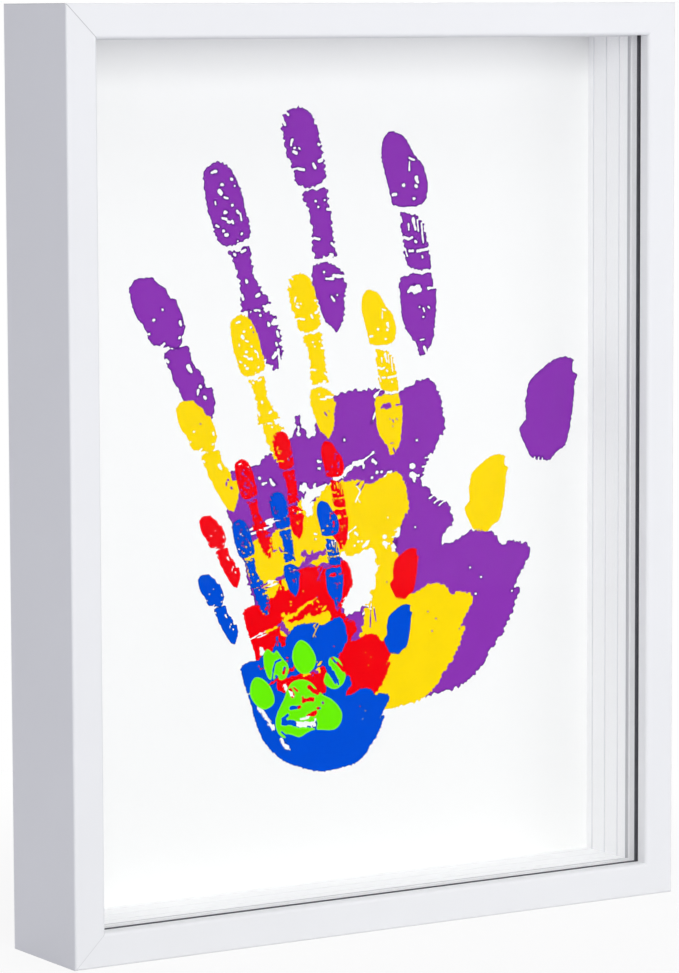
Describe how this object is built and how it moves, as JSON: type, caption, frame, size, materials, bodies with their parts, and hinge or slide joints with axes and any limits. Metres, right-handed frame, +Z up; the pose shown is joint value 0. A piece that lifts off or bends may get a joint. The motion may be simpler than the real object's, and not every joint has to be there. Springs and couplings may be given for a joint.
{
  "type": "shadow box picture frame",
  "caption": "Deep white mitred shadow-box frame with glass, grooved liner, nested family handprint sheet, turn-button back and sawtooth hangers.",
  "frame": {"origin": "middle of the flat bottom face that the frame stands on, at mid-depth of the moulding", "axes": "+Z up along the stiles, +Y back through the frame towards the wall, +X to the right seen from the front"},
  "size_m": [0.253, 0.0481, 0.33],
  "materials": {
    "painted_moulding": "satin",
    "glazing_bead": "matte",
    "liner_board": "satin",
    "glass": "polished",
    "print_paper": "matte",
    "mount_board": "matte",
    "filler_board": "matte",
    "back_panel": "matte",
    "spring_steel": "satin",
    "zinc_buttons": "satin",
    "zinc_screws": "satin",
    "zinc_hangers": "satin"
  },
  "bodies": {
    "root": {"artwork_sheet": "print_paper", "back_panel": "back_panel", "corner_v_nails": "spring_steel", "filler_board": "filler_board", "glazing_bead_bottom": "glazing_bead", "glazing_bead_left": "glazing_bead", "glazing_bead_right": "glazing_bead", "glazing_bead_top": "glazing_bead", "glazing_pane": "glass", "hanger_landscape": "zinc_hangers", "hanger_nails": "zinc_screws", "hanger_portrait": "zinc_hangers", "liner_bottom": "liner_board", "liner_left": "liner_board", "liner_right": "liner_board", "liner_top": "liner_board", "mount_board": "mount_board", "rail_bottom": "painted_moulding", "rail_top": "painted_moulding", "stile_left": "painted_moulding", "stile_right": "painted_moulding", "turn_button_screws": "zinc_screws"},
    "turn_button_left_lower": {"turn_button_left_lower": "zinc_buttons"},
    "turn_button_left_upper": {"turn_button_left_upper": "zinc_buttons"},
    "turn_button_right_lower": {"turn_button_right_lower": "zinc_buttons"},
    "turn_button_right_upper": {"turn_button_right_upper": "zinc_buttons"},
    "turn_button_bottom_left": {"turn_button_bottom_left": "zinc_buttons"},
    "turn_button_bottom_right": {"turn_button_bottom_right": "zinc_buttons"},
    "turn_button_top_left": {"turn_button_top_left": "zinc_buttons"},
    "turn_button_top_right": {"turn_button_top_right": "zinc_buttons"}
  },
  "joints": [
    {"name": "turn_button_left_lower_turn", "type": "hinge", "parent": "root", "child": "turn_button_left_lower", "pos_m": [-0.12225, 0.0225, 0.082], "axis": [0, 1, 0], "range_deg": [-90, 90]},
    {"name": "turn_button_left_upper_turn", "type": "hinge", "parent": "root", "child": "turn_button_left_upper", "pos_m": [-0.12225, 0.0225, 0.248], "axis": [0, 1, 0], "range_deg": [-90, 90]},
    {"name": "turn_button_right_lower_turn", "type": "hinge", "parent": "root", "child": "turn_button_right_lower", "pos_m": [0.12225, 0.0225, 0.082], "axis": [0, 1, 0], "range_deg": [-90, 90]},
    {"name": "turn_button_right_upper_turn", "type": "hinge", "parent": "root", "child": "turn_button_right_upper", "pos_m": [0.12225, 0.0225, 0.248], "axis": [0, 1, 0], "range_deg": [-90, 90]},
    {"name": "turn_button_bottom_left_turn", "type": "hinge", "parent": "root", "child": "turn_button_bottom_left", "pos_m": [-0.0685, 0.0225, 0.00425], "axis": [0, 1, 0], "range_deg": [-90, 90]},
    {"name": "turn_button_bottom_right_turn", "type": "hinge", "parent": "root", "child": "turn_button_bottom_right", "pos_m": [0.0685, 0.0225, 0.00425], "axis": [0, 1, 0], "range_deg": [-90, 90]},
    {"name": "turn_button_top_left_turn", "type": "hinge", "parent": "root", "child": "turn_button_top_left", "pos_m": [-0.0685, 0.0225, 0.32575], "axis": [0, 1, 0], "range_deg": [-90, 90]},
    {"name": "turn_button_top_right_turn", "type": "hinge", "parent": "root", "child": "turn_button_top_right", "pos_m": [0.0685, 0.0225, 0.32575], "axis": [0, 1, 0], "range_deg": [-90, 90]}
  ]
}
